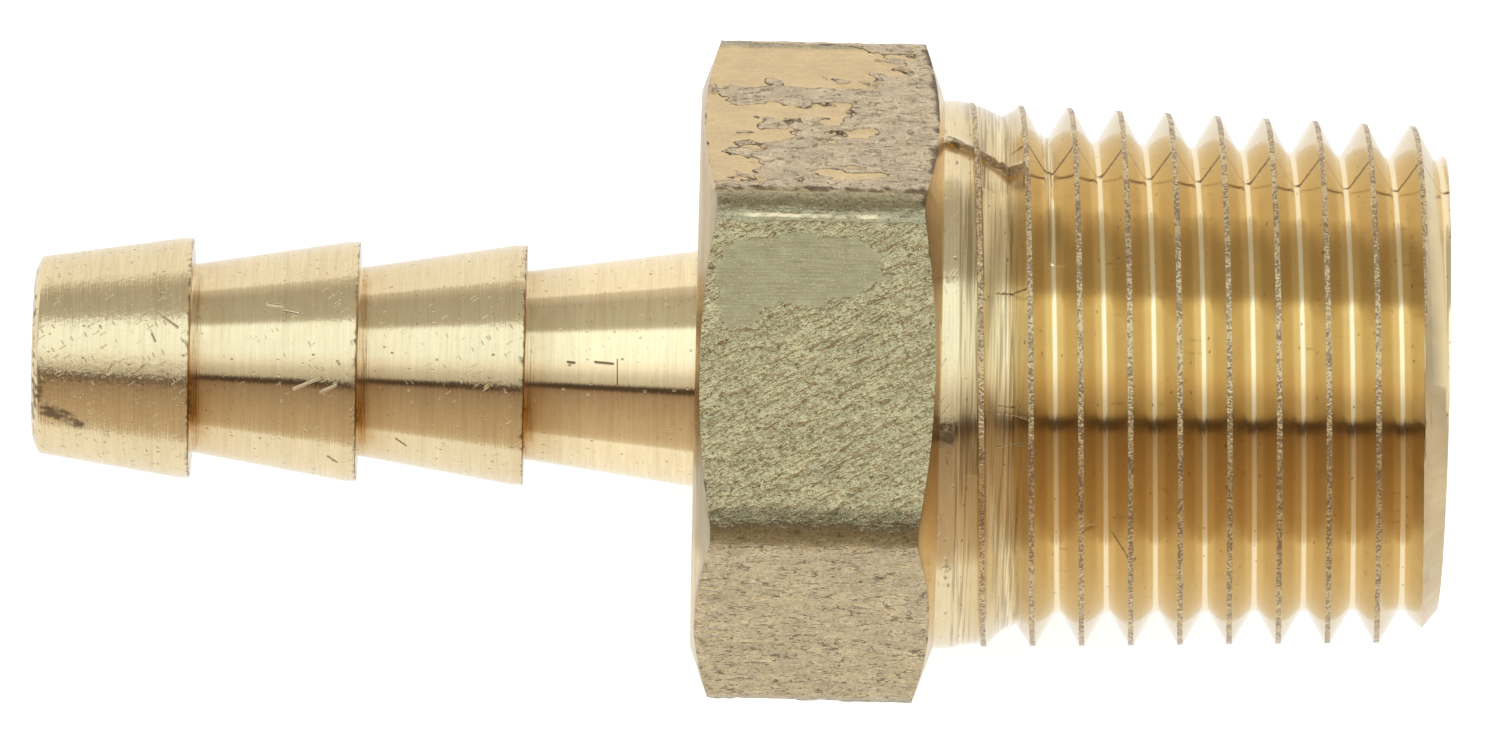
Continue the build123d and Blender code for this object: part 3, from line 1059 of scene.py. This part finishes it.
# Panels of the light tent as seen from the piece: the angle where each begins, in degrees
# from straight up towards +Y, its brightness and its colour.
PANELS = (
    (-180, 1.0, "#FFFFFF"),
    (-108, 1.0, "#FFFCF6"),
    (-97, 0.96, "#FFFBF2"),
    (-88, 0.70, "#FFF2E0"),
    (-80, 0.60, "#FFEAD0"),
    (-55, 0.50, "#FFE6C8"),
    (-34, 0.38, "#FFE4C8"),
    (-28, 0.32, "#FFDCC0"),
    (-26, 0.07, "#FFD4B8"),
    (-21, 0.07, "#FFD8C0"),
    (-19, 0.58, "#FFF8F0"),
    (-10, 0.71, "#FFFEFC"),
    (-1, 1.04, "#FCFEFF"),
    (8, 1.33, "#EAF6FF"),
    (39, 1.4, "#EAF6FF"),
    (43, 0.60, "#FFFEF8"),
    (47, 0.52, "#FFFDF4"),
    (76, 0.48, "#FFF9F0"),
    (89, 0.68, "#FFFAF2"),
    (98, 0.94, "#FFFCF6"),
    (108, 1.0, "#FFFDFA"),
    (180, 1.0, "#FFFFFF"),
)


def light_tent(world):
    """World of long panels that run along the bore, so bands lie along the piece."""
    world.use_nodes = True
    tree = world.node_tree
    tree.nodes.clear()
    place = add(tree, "TexCoord", out="Generated")
    _, y, z = add(tree, "SeparateXYZ", {0: place}).node.outputs
    angle = add(tree, "Math", {0: y, 1: z}, operation="ARCTAN2")
    share = add(tree, "MapRange", {"Value": angle, "From Min": -math.pi, "From Max": math.pi})
    ramp = add(tree, "ValToRGB", {"Fac": share})
    stops = ramp.node.color_ramp.elements
    brightest = max(strength for _, strength, _ in PANELS)
    for i, (degrees, _, _) in enumerate(PANELS):
        stop = stops[i] if i < 2 else stops.new(1)
        stop.position = (degrees + 180) / 360
    for stop, (_, strength, code) in zip(stops, PANELS):
        stop.color = (*(v * strength / brightest for v in linear(code)), 1)
    tent = add(tree, "Background", {"Color": ramp, "Strength": brightest})
    seen = add(tree, "Background", {"Color": (1, 1, 1, 1)})
    by_camera = add(tree, "LightPath", out="Is Camera Ray")
    add(tree, "OutputWorld", {"Surface": add(tree, "MixShader", {0: by_camera, 1: tent, 2: seen})})


def table_material(tint):
    """Matte white table that keeps a soft shadow and looks white in the metal."""
    material = bpy.data.materials.new("matte white table")
    material.use_nodes = True
    tree = material.node_tree
    tree.nodes.clear()
    matte = add(tree, "BsdfDiffuse", {"Color": (*tint, 1)})
    glow = add(tree, "Emission", {"Color": (1, 1, 1, 1), "Strength": TABLE_GLOW})
    white = add(tree, "Emission", {"Color": (1, 1, 1, 1), "Strength": 1.0})
    seen = add(tree, "AddShader", {0: matte, 1: glow})
    by_camera = add(tree, "LightPath", out="Is Camera Ray")
    in_metal = by_camera.node.outputs["Is Glossy Ray"]
    direct = add(tree, "MixShader", {0: by_camera, 1: matte, 2: seen})
    both = add(tree, "MixShader", {0: in_metal, 1: direct, 2: white})
    add(tree, "OutputMaterial", {"Surface": both})
    return material


class FITTING_OT_stage(bpy.types.Operator):
    """Builds the table, the light tent and the camera"""

    bl_idname = "fitting.stage"
    bl_label = "Build stage"

    def execute(self, context):
        scene = context.scene
        low = CAD_BOX[0][2]
        reach = TABLE_REACH
        mesh = bpy.data.meshes.new("table")
        corners = [(-reach, -reach, low), (reach, -reach, low), (reach, reach, low)]
        mesh.from_pydata(corners + [(-reach, reach, low)], [], [(0, 1, 2, 3)])
        table = bpy.data.objects.new("table", mesh)
        mesh.materials.append(table_material(scene.fitting_colours.floor))
        scene.collection.objects.link(table)
        scene.world = scene.world or bpy.data.worlds.new("light tent")
        light_tent(scene.world)
        camera = bpy.data.objects.new("camera", bpy.data.cameras.new("camera"))
        camera.data.sensor_width = SENSOR
        camera.data.lens = SENSOR * CAMERA_HEIGHT * PIXELS_PER_MM / IMAGE_WIDTH
        camera.data.clip_start = CLIP_START
        camera.location = [v * MM for v in (*CAMERA_AIM, CAMERA_HEIGHT)]
        camera.rotation_euler = (0, 0, math.radians(CAMERA_ROLL))
        scene.collection.objects.link(camera)
        scene.camera = camera
        scene.view_settings.view_transform = "Standard"
        return {"FINISHED"}


class FITTING_PT_sidebar(bpy.types.Panel):
    """Lists the sizes, the colours and the build steps"""

    bl_idname = "FITTING_PT_sidebar"
    bl_label = "Hose barb tail"
    bl_space_type = "VIEW_3D"
    bl_region_type = "UI"
    bl_category = "Fitting"

    def draw(self, context):
        for group in (context.scene.fitting_sizes, context.scene.fitting_colours):
            box = self.layout.box()
            for name in group.__annotations__:
                box.prop(group, name)
        for step in STEPS:
            self.layout.operator(step.bl_idname)


STEPS = (FITTING_OT_body, FITTING_OT_stage)
CLASSES = (FittingSizes, FittingColours, *STEPS, FITTING_PT_sidebar)


def register():
    for cls in CLASSES:
        bpy.utils.register_class(cls)
    bpy.types.Scene.fitting_sizes = bpy.props.PointerProperty(type=FittingSizes)
    bpy.types.Scene.fitting_colours = bpy.props.PointerProperty(type=FittingColours)


def unregister():
    del bpy.types.Scene.fitting_colours
    del bpy.types.Scene.fitting_sizes
    for cls in reversed(CLASSES):
        bpy.utils.unregister_class(cls)


def main():
    """Builds everything in order."""
    register()
    bpy.ops.fitting.body()
    bpy.ops.fitting.stage()


if __name__ == "__main__":
    main()
